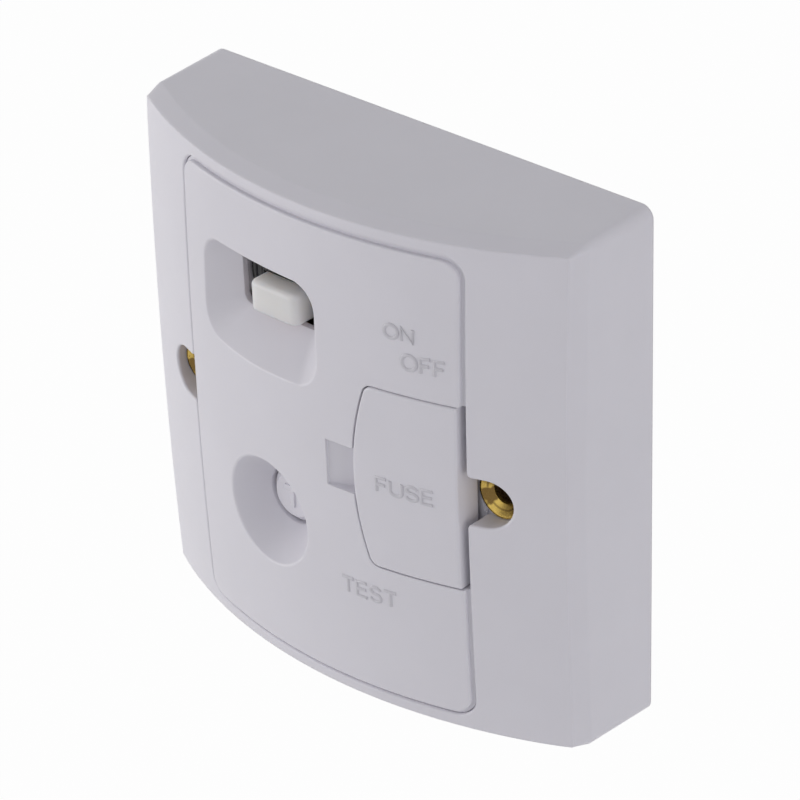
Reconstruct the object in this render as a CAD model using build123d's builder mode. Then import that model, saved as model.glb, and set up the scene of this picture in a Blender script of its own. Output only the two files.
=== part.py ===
from build123d import *
import os
from math import asin, cos, isclose, radians, sin, sqrt, tan

os.makedirs("parts", exist_ok=True)

# All sizes are in millimetres and degrees.
# X runs to the right and Z up, seen from the front. Y runs into the wall, and the wall plane is Y = 0.
# A height is measured from the wall plane towards the front, so it runs against Y.

# Outer frame
plate_size = 86.0
plate_corner = 2.0
bevel_across = 0.9
bevel_down = 2.8
side_draft = 3.0
crown_height = 27.9
crown_radius_across = 86.0
crown_radius_up = 870.0
crown_steps = 4
plate_wall = 2.0
skirt_wall = 1.8
rim_bar = 2.6

# Window in the frame and the groove around the panel
window_width = 55.2
window_end_strip = 4.1
window_corner = 3.5
groove_round = 0.3
groove_depth = 0.5

# Wall fixings at the standard spacing
fixing_centres = 60.3
counterbore_radius = 4.0
channel_corner = 0.7
cup_radius = 3.8
cup_wall = 0.3
cup_seat = 16.6
cup_depth = 2.4
cup_dish = 1.15
cup_proud = 0.4
eyelet_bore = 2.0
eyelet_wall = 0.6
eyelet_flare = 0.8
eyelet_flare_thickness = 0.4
column_radius = 5.4

# Centre panel
panel_gap = 0.6
panel_rise = 0.3
panel_thickness = 2.2
panel_wall = 1.6
recess_wall = 1.1
recess_round = 0.4

# Column of the switch and the test button on the panel
control_x = -9.15
mouth_lift = 0.6

# Switch recess
switch_floor = 22.0
switch_window_width = 15.4
switch_window_height = 10.5
switch_window_drop = 16.25
switch_window_corner = 1.5
switch_mouth_width = 28.9
switch_mouth_height = 17.9
switch_mouth_shift = -0.65
switch_mouth_drop = 2.75
switch_mouth_corner = 5.2

# Toggle lever
toggle_pivot_height = 12.0
toggle_hub_radius = 4.0
toggle_hub_width = 13.0
knob_width = 9.4
knob_height = 4.85
knob_drop = 2.03
knob_top = 24.0
knob_round = 1.1
knob_edge_round = 0.9
toggle_arm_width = 5.0
toggle_arm_thickness = 2.4
toggle_arm_reach = 7.2
toggle_swing = 22.0
toggle_pin_radius = 1.2
flag_side_gap = 0.4
flag_top_angle = 42.0
flag_split_angle = -33.0
flag_bottom_angle = -68.0
cheek_thickness = 1.6
cheek_gap = 0.7
cheek_width = 8.0
cheek_tail = 2.6

# Test well and button
control_spacing = 36.55
well_floor = 21.5
well_floor_radius = 5.0
well_mouth_radius = 9.45
button_radius = 4.7
button_top = 22.0
button_chamfer = 1.2
button_flange_radius = 6.2
button_flange_thickness = 1.5
button_stem_radius = 2.2
button_stem_end = 9.5
button_travel = 1.5
test_guide_radius = 4.6
test_guide_top = 12.0
letter_height = 3.6
letter_width = 3.0
letter_stroke = 0.8
letter_rise = 0.25
leaf_gap = 1.2
leaf_thickness = 0.5
leaf_width = 2.0

# Fuse carrier
carrier_half_height = 15.35
carrier_width = 17.15
carrier_right_gap = 1.0
carrier_bow = 2.65
carrier_corner_round = 1.8
carrier_gap = 0.2
carrier_proud = 0.15
carrier_face = 2.2
carrier_edge_round = 0.4
carrier_pivot_inset = 1.9
carrier_pivot_height = 22.0
carrier_cradle_radius = 8.6
carrier_front_angle = 30.0
carrier_rear_angle = 42.0
carrier_hub_radius = 1.9
carrier_cheek = 1.9
carrier_pin_radius = 1.0
heel_thickness = 1.0
heel_drop = 2.3
hinge_boss_thickness = 1.8
hinge_boss_width = 6.0
hinge_boss_shift = 1.5
hinge_boss_depth = 3.4
bay_depth = 3.2

# Cartridge fuse, 1 in long and 1/4 in across
fuse_length = 25.4
fuse_radius = 3.175
fuse_cap_length = 5.5
fuse_cap_wall = 0.25
fuse_orbit = 9.4
fuse_angle = 15.0
clip_thickness = 0.8
clip_width = 4.0

# Screwdriver notch beside the fuse carrier
notch_width = 4.8
notch_half_height = 3.9
notch_step = 0.4
notch_depth = 3.0
notch_wall = 1.3

# Rear housing and its back plate
back_plate_end_inset = 3.0
back_plate_corner = 3.0
back_plate_bottom = 2.5
back_plate_top = 4.5
housing_width = 48.0
housing_screw_gap = 1.0
housing_depth = 15.0
housing_floor = 2.0
housing_wall = 1.6
housing_corner = 3.0
ledge_width = 0.6

# Screws
screw_radius = 1.3
screw_head_radius = 2.4
screw_head_thickness = 1.6
screw_tip = 12.0
screw_slot_length = 3.4
screw_slot_width = 0.8
screw_slot_depth = 0.7
boss_radius = 2.8
frame_screw_offset = 4.9
frame_screw_side_inset = 3.0
frame_screw_end_inset = 5.5
panel_screw_inset = 4.9

# Earth strap
strap_bottom = 0.4
strap_thickness = 0.8
strap_width = 6.0
strap_ring_radius = 4.6

# Terminals
terminal_x = 15.0
terminal_width = 8.0
terminal_length = 9.0
terminal_height = 9.0
terminal_bore = 2.1
terminal_bore_height = 5.2
terminal_screw_radius = 1.7
terminal_screw_length = 3.6
terminal_screw_sink = 0.8
post_width = 3.0

# Circuit board
board_level = 1.8
board_thickness = 1.6

# Contact set behind the toggle
contact_base_thickness = 0.5
rail_thickness = 1.5
rail_height = 4.6
contact_base_gap = 0.45
carriage_length = 16.0
carriage_head = 2.0
carriage_thickness = 3.3
arm_play = 0.8
bridge_edge = 1.2
bridge_middle = 2.8
bridge_thickness = 1.0
bridge_height = 2.5
spring_stop_width = 3.5
contact_post_width = 2.0
contact_post_length = 1.5
contact_post_inset = 1.2

# Trip solenoid
coil_height = 10.2
coil_radius = 4.6
coil_length = 9.5
bobbin_radius = 2.7
bobbin_flange = 0.6
bobbin_bore = 2.1
yoke_thickness = 1.2
yoke_half_width = 5.0
plunger_radius = 1.8
plunger_length = 6.5
plunger_travel = 1.5
push_rod_radius = 1.0

# Sensing toroid
toroid_radius = 5.2
toroid_hole = 3.4
toroid_height = 5.4
winding_thickness = 0.8
winding_angle = 250.0
conductor_radius = 0.8
conductor_spacing = 2.2
conductor_bend = 1.6

# Components on the board around the test well
component_edge = 1.2
component_inset = 7.9
capacitor_radius = 4.0
capacitor_height = 11.0
varistor_width = 7.4
varistor_thickness = 3.2
varistor_height = 9.0
chip_width = 6.2
chip_length = 5.0
chip_thickness = 1.6
resistor_pitch = 3.0
resistor_width = 1.8
resistor_length = 6.0
resistor_thickness = 1.4

# Springs
test_spring_radius = 3.4
test_spring_wire = 0.5
test_spring_turns = 4
plunger_spring_radius = 1.45
plunger_spring_wire = 0.3
plunger_spring_turns = 3
carriage_spring_radius = 1.3
carriage_spring_wire = 0.35
carriage_spring_turns = 4

# Running and assembly clearances, and how far a cut runs past what it cuts
seat_gap = 0.3
pin_clearance = 0.05
hole_clearance = 0.1
over_cut = 1.0

# Places worked out from the sizes above
plate_half = plate_size / 2
window_half_width = window_width / 2
window_height = plate_size - 2 * window_end_strip
front_strip = window_end_strip - crown_height * tan(radians(side_draft))
edge_bevel = min(bevel_across, front_strip - 2 * groove_round)
fixing_x = fixing_centres / 2
fixing_places = [(-fixing_x, 0), (fixing_x, 0)]
corners = [(x, z) for x in (-1, 1) for z in (-1, 1)]
frame_screw_x = window_half_width + frame_screw_offset
back_plate_width = 2 * (frame_screw_x + frame_screw_side_inset)
back_plate_height = plate_size - 2 * back_plate_end_inset
frame_screw_z = back_plate_height / 2 - frame_screw_end_inset
frame_screw_places = [(x * frame_screw_x, z * frame_screw_z) for x, z in corners]
panel_width = window_width - 2 * panel_gap
panel_height = window_height - 2 * panel_gap
panel_corner = window_corner - panel_gap
panel_screw_x = panel_width / 2 - panel_screw_inset
panel_screw_z = panel_height / 2 - panel_screw_inset
panel_screw_places = [(x * panel_screw_x, z * panel_screw_z) for x, z in corners]
switch_window_z = panel_height / 2 - switch_window_drop
switch_mouth_z = switch_window_z - switch_mouth_drop
test_z = switch_window_z - control_spacing
housing_height = 2 * (panel_screw_z - screw_head_radius - housing_screw_gap)
pocket_inner = window_half_width + skirt_wall
pocket_outer = plate_half - plate_wall
eyelet_radius = eyelet_bore + eyelet_wall
channel_level = cup_seat + cup_depth - cup_proud
strap_top = strap_bottom + strap_thickness
board_top = board_level + board_thickness
ledge_half_width = housing_width / 2 - housing_wall + ledge_width
ledge_half_height = housing_height / 2 - housing_wall + ledge_width
board_half_width = ledge_half_width - hole_clearance
board_half_height = ledge_half_height - hole_clearance
control_tilt = asin(control_x / crown_radius_across)
terminal_z = housing_height / 2 - housing_wall - seat_gap - terminal_length / 2
terminal_seat = housing_floor - housing_depth
terminal_top = terminal_seat + terminal_height
terminal_places = {
    "supply_neutral": (-terminal_x, -terminal_z),
    "supply_earth": (0, -terminal_z),
    "supply_live": (terminal_x, -terminal_z),
    "load_neutral": (-terminal_x, terminal_z),
    "load_earth": (0, terminal_z),
    "load_live": (terminal_x, terminal_z),
}
live_places = [(x * terminal_x, z * terminal_z) for x, z in corners]
carrier_right = window_half_width - carrier_right_gap
carrier_left_middle = carrier_right - carrier_width
carrier_left_corner = carrier_left_middle + carrier_bow
carrier_pivot_x = carrier_right - carrier_pivot_inset
fuse_x = carrier_pivot_x - fuse_orbit * cos(radians(fuse_angle))
fuse_height = carrier_pivot_height - fuse_orbit * sin(radians(fuse_angle))
carrier_sector_radius = fuse_orbit + fuse_radius + seat_gap
base_top = board_top + contact_base_thickness
carriage_floor = base_top + seat_gap
rail_outer = housing_width / 2 - housing_wall - contact_base_gap
carriage_width = 2 * (rail_outer + control_x - rail_thickness - seat_gap)
bridge_length = carriage_width / 2 - bridge_edge - bridge_middle
bridge_offset = bridge_middle + bridge_length / 2
contact_post_offset = bridge_length / 2 - contact_post_inset
carriage_slot = toggle_arm_thickness + 2 * arm_play
carriage_top_z = switch_window_z + carriage_slot / 2 + carriage_head
carriage_bottom_z = carriage_top_z - carriage_length
carriage_drive_reach = toggle_pivot_height - carriage_floor - carriage_thickness / 2
carriage_travel = carriage_drive_reach * sin(radians(toggle_swing))
contact_z = carriage_bottom_z - bridge_thickness - carriage_travel - seat_gap - contact_post_length
base_bottom_z = contact_z - contact_post_length
coil_top_z = base_bottom_z - seat_gap - yoke_thickness
coil_bottom_z = coil_top_z - coil_length
push_rod_end_z = switch_window_z - toggle_hub_radius - seat_gap - plunger_travel
flag_width = switch_window_width - 2 * flag_side_gap
flag_radius = switch_floor - recess_wall - seat_gap - toggle_pivot_height
winding_radius = toroid_radius + winding_thickness
toroid_x = ledge_half_width - seat_gap - winding_radius - 3 * conductor_radius
toroid_z = ledge_half_height - seat_gap - winding_radius
component_z = component_inset - board_half_height
component_right = board_half_width - component_edge
capacitor_x = capacitor_radius - component_right
resistor_row = 2 * resistor_pitch + resistor_width
component_left = control_x + test_guide_radius
component_room = component_right - component_left - varistor_width - chip_width - resistor_row
component_gap = component_room / 3
varistor_x = component_left + component_gap + varistor_width / 2
chip_x = varistor_x + varistor_width / 2 + component_gap + chip_width / 2
resistor_x = component_right - resistor_row / 2


def level(height):
    """Plane parallel to the wall at a height above it, facing the front."""
    return Plane.XZ.offset(height)


def dome(across):
    """Height of the domed front at a distance to the side of its middle."""
    return crown_height - crown_radius_across + sqrt(crown_radius_across**2 - across**2)


def bow(up):
    """How far the front has dropped at a distance above or below its middle."""
    return crown_radius_up - sqrt(crown_radius_up**2 - up**2)


def crown(rise):
    """Everything behind the domed front surface, with the surface moved out by rise."""
    half = plate_half + over_cut
    with BuildPart() as solid:
        for step in range(crown_steps + 1):
            z = half * (2 * step / crown_steps - 1)
            lift = rise - bow(z)
            with BuildSketch(Plane.XY.offset(z)):
                with BuildLine():
                    arc = ThreePointArc(
                        (-half, -dome(half) - lift),
                        (0, -dome(0) - lift),
                        (half, -dome(half) - lift),
                    )
                    Polyline(arc @ 1, (half, housing_depth), (-half, housing_depth), arc @ 0)
                make_face()
        loft()
    return solid.part


def domed_face(builder):
    """Front face of a piece, which is its largest curved face."""
    return builder.faces().filter_by(GeomType.PLANE, reverse=True).sort_by(SortBy.AREA)[-1]


def mouth_plane(z):
    """Plane just above the dome at the control column, tilted to lie along the surface."""
    outward = Vector(sin(control_tilt), -cos(control_tilt), 0)
    foot = Vector(control_x, -dome(control_x), z)
    return Plane(foot + outward * mouth_lift, x_dir=(cos(control_tilt), sin(control_tilt), 0), z_dir=outward)


def switch_funnel(wall):
    """Sloping space of the switch recess, grown by a wall on every side."""
    with BuildPart() as funnel:
        with BuildSketch(level(switch_floor - wall)):
            with Locations((control_x, switch_window_z)):
                RectangleRounded(
                    switch_window_width + 2 * wall,
                    switch_window_height + 2 * wall,
                    switch_window_corner + wall,
                )
        with BuildSketch(mouth_plane(switch_mouth_z)):
            with Locations((switch_mouth_shift, 0)):
                RectangleRounded(
                    switch_mouth_width + 2 * wall,
                    switch_mouth_height + 2 * wall,
                    switch_mouth_corner + wall,
                )
        loft()
    return funnel.part


def test_funnel(wall):
    """Conical space of the test well, grown by a wall on every side."""
    with BuildPart() as funnel:
        with BuildSketch(level(well_floor - wall)):
            with Locations((control_x, test_z)):
                Circle(well_floor_radius + wall)
        with BuildSketch(mouth_plane(test_z)):
            Circle(well_mouth_radius + wall)
        loft()
    return funnel.part


def carrier_outline(clearance):
    """Outline of the fuse carrier's face, with its bowed left edge."""
    with BuildSketch() as outline:
        with BuildLine():
            bow = ThreePointArc(
                (carrier_left_corner, carrier_half_height),
                (carrier_left_middle, 0),
                (carrier_left_corner, -carrier_half_height),
            )
            Polyline(
                bow @ 1,
                (carrier_right, -carrier_half_height),
                (carrier_right, carrier_half_height),
                bow @ 0,
            )
        make_face()
        fillet(outline.vertices().sort_by(Axis.X)[:2], carrier_corner_round)
        offset(amount=clearance, kind=Kind.INTERSECTION)
    return outline.sketch


def screw_group(places, bottom, tip):
    """Pan head screws driven from behind, with a cross slot in each head."""
    with BuildPart() as screws:
        with BuildSketch(level(bottom - screw_head_thickness)):
            with Locations(*places):
                Circle(screw_head_radius)
        extrude(amount=screw_head_thickness)
        with BuildSketch(level(bottom)):
            with Locations(*places):
                Circle(screw_radius)
        extrude(amount=tip - bottom)
        with BuildSketch(level(bottom - screw_head_thickness)):
            with Locations(*places):
                Rectangle(screw_slot_length, screw_slot_width)
                Rectangle(screw_slot_width, screw_slot_length)
        extrude(amount=screw_slot_depth, mode=Mode.SUBTRACT)
    return screws.part


def coil_spring(foot, direction, radius, wire_radius, length, turns):
    """Open coil spring that stands on its foot and reaches the given length."""
    rise = length - 2 * wire_radius
    start = Vector(foot) + Vector(direction) * wire_radius
    with BuildPart() as spring:
        with BuildLine() as wire:
            Helix(pitch=rise / turns, height=rise, radius=radius, center=start, direction=direction)
        with BuildSketch(Plane(wire.line @ 0, z_dir=wire.line % 0)):
            Circle(wire_radius)
        sweep(is_frenet=True)
    return spring.part


# Solids that shape several pieces
frame_crown = crown(0)
pocket_roof = crown(-plate_wall)
groove_crown = crown(-groove_depth)
panel_crown = crown(panel_rise)
panel_roof = crown(panel_rise - panel_thickness)
carrier_crown = crown(panel_rise + carrier_proud)
carrier_roof = crown(panel_rise - carrier_face)

# Hollow sides of the outer frame
with BuildPart() as side_pockets:
    with BuildSketch(level(0)):
        with Locations(
            ((pocket_inner + pocket_outer) / 2, 0),
            (-(pocket_inner + pocket_outer) / 2, 0),
        ):
            RectangleRounded(pocket_outer - pocket_inner, plate_size - 2 * rim_bar, plate_wall)
    extrude(amount=crown_height, taper=side_draft)
    add(pocket_roof, mode=Mode.INTERSECT)
    with BuildSketch(level(0)):
        with Locations(*fixing_places):
            Circle(column_radius)
        with Locations(*frame_screw_places):
            Circle(boss_radius)
    extrude(amount=crown_height, mode=Mode.SUBTRACT)


def is_channel_corner(edge):
    """True for an edge where the channel of a fixing hole meets the window."""
    middle = edge.center()
    at_window = isclose(abs(middle.X), window_half_width, abs_tol=pin_clearance)
    at_channel = isclose(abs(middle.Z), counterbore_radius, abs_tol=pin_clearance)
    return at_window and at_channel


# Outer frame
with BuildPart() as front_frame:
    with BuildSketch(level(0)):
        RectangleRounded(plate_size, plate_size, plate_corner)
    extrude(amount=crown_height + over_cut, taper=side_draft)
    add(frame_crown, mode=Mode.INTERSECT)
    with BuildSketch(level(0)):
        RectangleRounded(window_width, window_height, window_corner)
    extrude(amount=crown_height + over_cut, mode=Mode.SUBTRACT)
    with BuildSketch(level(channel_level)):
        with Locations(*fixing_places):
            Circle(counterbore_radius)
        for side in (-1, 1):
            with Locations((side * (fixing_x - counterbore_radius / 2), 0)):
                Rectangle(counterbore_radius, 2 * counterbore_radius)
    extrude(amount=crown_height, mode=Mode.SUBTRACT)
    channel_edges = front_frame.edges().filter_by(Axis.Y).filter_by(is_channel_corner)
    fillet(channel_edges, channel_corner)
    fillet(domed_face(front_frame).inner_wires()[0].edges(), groove_round)
    front = domed_face(front_frame)
    chamfer(front.outer_wire().edges(), edge_bevel, bevel_down, reference=front)
    with BuildSketch(level(cup_seat)):
        with Locations(*fixing_places):
            Circle(cup_radius + hole_clearance)
    extrude(amount=cup_depth, mode=Mode.SUBTRACT)
    add(side_pockets.part, mode=Mode.SUBTRACT)
    with BuildSketch(level(0)):
        RectangleRounded(
            back_plate_width + 2 * seat_gap,
            back_plate_height + 2 * seat_gap,
            back_plate_corner,
        )
    extrude(amount=strap_top, mode=Mode.SUBTRACT)
    with BuildSketch(level(strap_top)):
        RectangleRounded(
            back_plate_width + 2 * seat_gap,
            back_plate_height + 2 * seat_gap,
            back_plate_corner,
        )
        with Locations(*fixing_places):
            Circle(column_radius, mode=Mode.SUBTRACT)
    extrude(amount=back_plate_top - strap_top, mode=Mode.SUBTRACT)
    with BuildSketch(level(0)):
        with Locations(*fixing_places):
            Circle(eyelet_radius + pin_clearance)
    extrude(amount=cup_seat, mode=Mode.SUBTRACT)
    with BuildSketch(level(back_plate_top)):
        with Locations(*frame_screw_places):
            Circle(screw_radius + pin_clearance)
    extrude(amount=screw_tip - back_plate_top + over_cut, mode=Mode.SUBTRACT)
front_frame.part.label = "front_frame"
export_step(front_frame.part, "parts/front_frame.step")

# Brass eyelets that line the two fixing holes
for name, (x, z) in zip(("left_eyelet", "right_eyelet"), fixing_places):
    with BuildPart() as eyelet:
        with BuildSketch(Plane.XY.offset(z)):
            with BuildLine():
                Polyline(
                    (x + eyelet_bore, 0),
                    (x + eyelet_radius + eyelet_flare, 0),
                    (x + eyelet_radius + eyelet_flare, -eyelet_flare_thickness),
                    (x + eyelet_radius, -eyelet_flare_thickness),
                    (x + eyelet_radius, -cup_seat),
                    (x + cup_radius, -cup_seat),
                    (x + cup_radius, -(cup_seat + cup_depth)),
                    (x + cup_radius - cup_wall, -(cup_seat + cup_depth)),
                    (x + eyelet_bore, -(cup_seat + cup_depth - cup_dish)),
                    close=True,
                )
            make_face()
        revolve(axis=Axis((x, 0, z), (0, 1, 0)))
    eyelet.part.label = name
    export_step(eyelet.part, f"parts/{name}.step")

# Space behind the skin of the centre panel
with BuildPart() as panel_hollow:
    with BuildSketch(level(back_plate_top)):
        RectangleRounded(
            panel_width - 2 * panel_wall,
            panel_height - 2 * panel_wall,
            panel_corner - panel_wall,
        )
    extrude(amount=crown_height)
    add(panel_roof, mode=Mode.INTERSECT)

# Shoulder around the centre panel, which is the floor of the groove
with BuildPart() as panel_shoulder:
    with BuildSketch(level(back_plate_top)):
        RectangleRounded(
            window_width - 2 * hole_clearance,
            window_height - 2 * hole_clearance,
            window_corner - hole_clearance,
        )
        RectangleRounded(
            panel_width - panel_wall,
            panel_height - panel_wall,
            panel_corner - panel_wall / 2,
            mode=Mode.SUBTRACT,
        )
    extrude(amount=crown_height)
    add(groove_crown, mode=Mode.INTERSECT)
    with BuildSketch(level(channel_level)):
        for side in (-1, 1):
            with Locations((side * window_half_width, 0)):
                Rectangle(2 * panel_gap, 2 * counterbore_radius)
    extrude(amount=crown_height, mode=Mode.SUBTRACT)

# Centre panel with the switch recess, the test well and the bay of the fuse carrier
bay_half_height = carrier_half_height + carrier_gap
opening_left = carrier_left_middle - carrier_gap
cheek_inner = flag_width / 2 + cheek_gap
hinge_boss_middle = bay_half_height + hinge_boss_thickness / 2
with BuildPart() as centre_panel:
    with BuildSketch(level(back_plate_top)):
        RectangleRounded(panel_width, panel_height, panel_corner)
    extrude(amount=crown_height)
    add(panel_hollow.part, mode=Mode.SUBTRACT)
    add(switch_funnel(recess_wall))
    add(test_funnel(recess_wall))
    with BuildSketch(level(back_plate_top)):
        with Locations(*panel_screw_places):
            Circle(boss_radius)
    extrude(amount=crown_height)
    with BuildSketch(level(dome(opening_left) - notch_depth - notch_wall)):
        with Locations((opening_left - notch_width / 2, 0)):
            Rectangle(notch_width + 2 * notch_wall, 2 * (notch_half_height + notch_wall))
    extrude(amount=crown_height / 2)
    with BuildSketch(level(carrier_pivot_height - hinge_boss_depth)):
        with Locations(
            (carrier_pivot_x - hinge_boss_shift, hinge_boss_middle),
            (carrier_pivot_x - hinge_boss_shift, -hinge_boss_middle),
        ):
            Rectangle(hinge_boss_width, hinge_boss_thickness)
    extrude(amount=crown_height / 2)
    with BuildSketch(level(toggle_pivot_height - cheek_tail)):
        for side in (-1, 1):
            with Locations((control_x + side * (cheek_inner + cheek_thickness / 2), switch_window_z)):
                Rectangle(cheek_thickness, cheek_width)
    extrude(amount=switch_floor - recess_wall / 2 - toggle_pivot_height + cheek_tail)
    add(panel_crown, mode=Mode.INTERSECT)
    add(switch_funnel(0), mode=Mode.SUBTRACT)
    add(test_funnel(0), mode=Mode.SUBTRACT)
    fillet(domed_face(centre_panel).outer_wire().edges(), groove_round)
    recess_rims = domed_face(centre_panel).inner_wires()
    fillet([edge for rim in recess_rims for edge in rim.edges()], recess_round)
    add(panel_shoulder.part)
    with BuildSketch(level(switch_floor - recess_wall)):
        with Locations((control_x, switch_window_z)):
            RectangleRounded(switch_window_width, switch_window_height, switch_window_corner)
    extrude(amount=recess_wall, mode=Mode.SUBTRACT)
    with BuildSketch(level(well_floor - recess_wall)):
        with Locations((control_x, test_z)):
            Circle(well_floor_radius)
    extrude(amount=recess_wall, mode=Mode.SUBTRACT)
    with BuildSketch(level(carrier_pivot_height - bay_depth)):
        add(carrier_outline(carrier_gap))
        with Locations((carrier_right + panel_wall / 2, 0)):
            Rectangle(2 * panel_wall, 2 * bay_half_height)
    extrude(amount=crown_height / 2, mode=Mode.SUBTRACT)
    notch_left = opening_left - notch_width
    with BuildSketch(Plane.XY):
        with BuildLine():
            Polyline(
                (notch_left, -crown_height - over_cut),
                (notch_left, -dome(notch_left) - panel_rise + notch_step),
                (opening_left + over_cut, -dome(opening_left) - panel_rise + notch_depth),
                (opening_left + over_cut, -crown_height - over_cut),
                close=True,
            )
        make_face()
    extrude(amount=notch_half_height, both=True, mode=Mode.SUBTRACT)
    with BuildSketch(level(back_plate_top)):
        with Locations(*panel_screw_places):
            Circle(screw_radius + pin_clearance)
    extrude(amount=screw_tip - back_plate_top + over_cut, mode=Mode.SUBTRACT)
    with BuildSketch(Plane.XY):
        with Locations((carrier_pivot_x, -carrier_pivot_height)):
            Circle(carrier_pin_radius + pin_clearance)
    extrude(amount=bay_half_height + hinge_boss_thickness, both=True, mode=Mode.SUBTRACT)
    with BuildSketch(Plane.YZ.offset(control_x)):
        with Locations((-toggle_pivot_height, switch_window_z)):
            Circle(toggle_pin_radius + pin_clearance)
    extrude(amount=cheek_inner + cheek_thickness, both=True, mode=Mode.SUBTRACT)
    with BuildSketch(level(back_plate_top)):
        with Locations(*fixing_places):
            Circle(eyelet_radius + seat_gap)
    extrude(amount=cup_seat - back_plate_top, mode=Mode.SUBTRACT)
    with BuildSketch(level(cup_seat - seat_gap)):
        with Locations(*fixing_places):
            Circle(cup_radius + hole_clearance)
    extrude(amount=cup_depth + seat_gap + hole_clearance, mode=Mode.SUBTRACT)
centre_panel.part.label = "centre_panel"
export_step(centre_panel.part, "parts/centre_panel.step")

# Hinge pin of the fuse carrier
with BuildPart() as carrier_hinge_pin:
    with BuildSketch(Plane.XY):
        with Locations((carrier_pivot_x, -carrier_pivot_height)):
            Circle(carrier_pin_radius)
    extrude(amount=bay_half_height + hinge_boss_thickness, both=True)
carrier_hinge_pin.part.label = "carrier_hinge_pin"
export_step(carrier_hinge_pin.part, "parts/carrier_hinge_pin.step")


def carrier_sector(radius):
    """Slice of a disc around the carrier's hinge, opening to the left."""
    hinge = (carrier_pivot_x, -carrier_pivot_height)
    start = 180 - carrier_rear_angle
    with BuildSketch() as sector:
        with BuildLine():
            rim = CenterArc(hinge, radius, start, carrier_rear_angle + carrier_front_angle)
            Line(rim @ 1, hinge)
            Line(hinge, rim @ 0)
        make_face()
    return sector.sketch


# Fuse carrier that swings out on its hinge
cradle_half = fuse_length / 2 + seat_gap
cheek_outer = cradle_half + carrier_cheek
with BuildPart() as fuse_carrier:
    with BuildSketch(level(carrier_pivot_height - bay_depth)):
        add(carrier_outline(0))
    extrude(amount=crown_height / 2)
    add(carrier_roof, mode=Mode.SUBTRACT)
    with BuildSketch(level(carrier_pivot_height - heel_drop)):
        with Locations((carrier_right - heel_thickness / 2, 0)):
            Rectangle(heel_thickness, 2 * carrier_half_height)
    extrude(amount=crown_height / 2)
    with BuildSketch(Plane.XY):
        add(carrier_sector(carrier_cradle_radius))
        with Locations((carrier_pivot_x, -carrier_pivot_height)):
            Circle(carrier_hub_radius)
    extrude(amount=cradle_half, both=True)
    for bottom in (-cheek_outer, cradle_half):
        with BuildSketch(Plane.XY.offset(bottom)):
            add(carrier_sector(carrier_sector_radius))
            with Locations((carrier_pivot_x, -carrier_pivot_height)):
                Circle(carrier_hub_radius)
        extrude(amount=carrier_cheek)
    with BuildSketch(Plane.XY):
        with Locations((fuse_x, -fuse_height)):
            Circle(fuse_radius + hole_clearance)
    extrude(amount=cradle_half, both=True, mode=Mode.SUBTRACT)
    add(carrier_crown, mode=Mode.INTERSECT)
    fillet(domed_face(fuse_carrier).edges(), carrier_edge_round)
    with BuildSketch(Plane.XY):
        with Locations((carrier_pivot_x, -carrier_pivot_height)):
            Circle(carrier_pin_radius + pin_clearance)
    extrude(amount=carrier_half_height, both=True, mode=Mode.SUBTRACT)
fuse_carrier.part.label = "fuse_carrier"
export_step(fuse_carrier.part, "parts/fuse_carrier.step")

# Cartridge fuse
fuse_axis = (fuse_x, -fuse_height)
with BuildPart() as fuse_body:
    with BuildSketch(Plane.XY):
        with Locations(fuse_axis):
            Circle(fuse_radius - fuse_cap_wall)
    extrude(amount=fuse_length / 2 - fuse_cap_wall, both=True)
fuse_body.part.label = "fuse_body"
export_step(fuse_body.part, "parts/fuse_body.step")

with BuildPart() as fuse_end_caps:
    for side in (-1, 1):
        with BuildSketch(Plane.XY.offset(side * fuse_length / 2)):
            with Locations(fuse_axis):
                Circle(fuse_radius)
        extrude(amount=-side * fuse_cap_length)
    with BuildSketch(Plane.XY):
        with Locations(fuse_axis):
            Circle(fuse_radius - fuse_cap_wall)
    extrude(amount=fuse_length / 2 - fuse_cap_wall, both=True, mode=Mode.SUBTRACT)
fuse_end_caps.part.label = "fuse_end_caps"
export_step(fuse_end_caps.part, "parts/fuse_end_caps.step")

# Fixed contacts that meet the fuse caps, standing on the circuit board
clip_z = fuse_length / 2 - fuse_cap_length / 2
clip_top = fuse_height - fuse_radius - seat_gap
with BuildPart() as fuse_contacts:
    with BuildSketch(level(board_top)):
        with Locations((fuse_x, -clip_z), (fuse_x, clip_z)):
            Rectangle(clip_thickness, clip_width)
    extrude(amount=clip_top - board_top)
    with BuildSketch(level(clip_top)):
        with Locations((fuse_x, -clip_z), (fuse_x, clip_z)):
            Rectangle(clip_width, clip_width)
    extrude(amount=-clip_thickness)
fuse_contacts.part.label = "fuse_contacts"
export_step(fuse_contacts.part, "parts/fuse_contacts.step")

# Toggle lever
toggle_axis = (-toggle_pivot_height, switch_window_z)
toggle_plane = Plane.YZ.offset(control_x)
knob_z = switch_window_z - knob_drop
with BuildPart() as toggle_lever:
    with BuildSketch(level(toggle_pivot_height)):
        with Locations((control_x, knob_z)):
            Rectangle(knob_width, knob_height)
    extrude(amount=knob_top - toggle_pivot_height)
    knob_face = toggle_lever.faces().sort_by(Axis.Y)[0]
    fillet(knob_face.edges().filter_by(Axis.Z), knob_round)
    knob_face = toggle_lever.faces().sort_by(Axis.Y)[0]
    fillet(knob_face.edges().filter_by(Axis.X).sort_by(Axis.Z)[-1], knob_edge_round)
    with BuildSketch(toggle_plane):
        with Locations(toggle_axis):
            Circle(toggle_hub_radius)
    extrude(amount=toggle_hub_width / 2, both=True)
    with BuildSketch(level(toggle_pivot_height)):
        with Locations((control_x, switch_window_z)):
            Rectangle(toggle_arm_width, toggle_arm_thickness)
    extrude(amount=-toggle_arm_reach)
    with BuildSketch(toggle_plane):
        with Locations(toggle_axis):
            Circle(toggle_pin_radius + pin_clearance)
    extrude(amount=toggle_hub_width / 2, both=True, mode=Mode.SUBTRACT)
toggle_lever.part.label = "toggle_lever"
export_step(toggle_lever.part, "parts/toggle_lever.step")

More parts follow.
